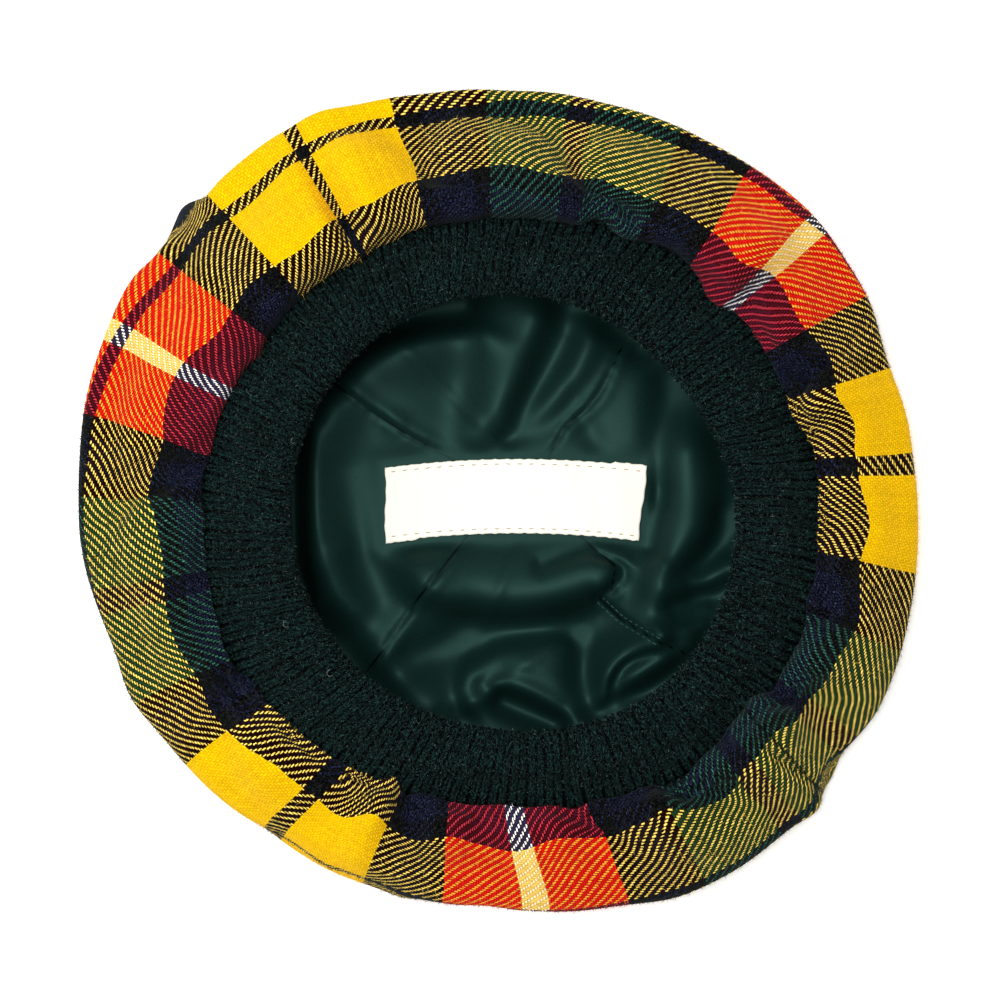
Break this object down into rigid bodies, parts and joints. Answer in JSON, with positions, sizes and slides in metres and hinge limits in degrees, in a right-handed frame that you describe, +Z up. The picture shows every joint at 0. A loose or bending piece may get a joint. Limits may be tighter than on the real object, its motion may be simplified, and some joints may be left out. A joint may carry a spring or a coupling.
{
  "type": "tam o shanter",
  "caption": "Soft round tartan cap with a gathered crown, a ribbed knitted headband and a satin lining, lying on its crown with the opening up.",
  "frame": {"origin": "middle of the flat face of the crown that the cap rests on", "axes": "+Z up through the mouth of the cap, +X to the right and +Y away as the cap is seen from above"},
  "size_m": [0.2613, 0.2558, 0.0516],
  "materials": {
    "tartan_wool": "wool twill woven in a yellow, red, green and navy check, lightly brushed",
    "rib_knit": "bottle green wool in a two by two rib, folded double",
    "satin_lining": "dark green satin with a soft sheen",
    "label_tape": "cream woven tape, bare"
  },
  "bodies": {
    "root": {"crown": "tartan_wool", "headband": "rib_knit", "lining": "satin_lining", "label": "label_tape"}
  },
  "joints": []
}
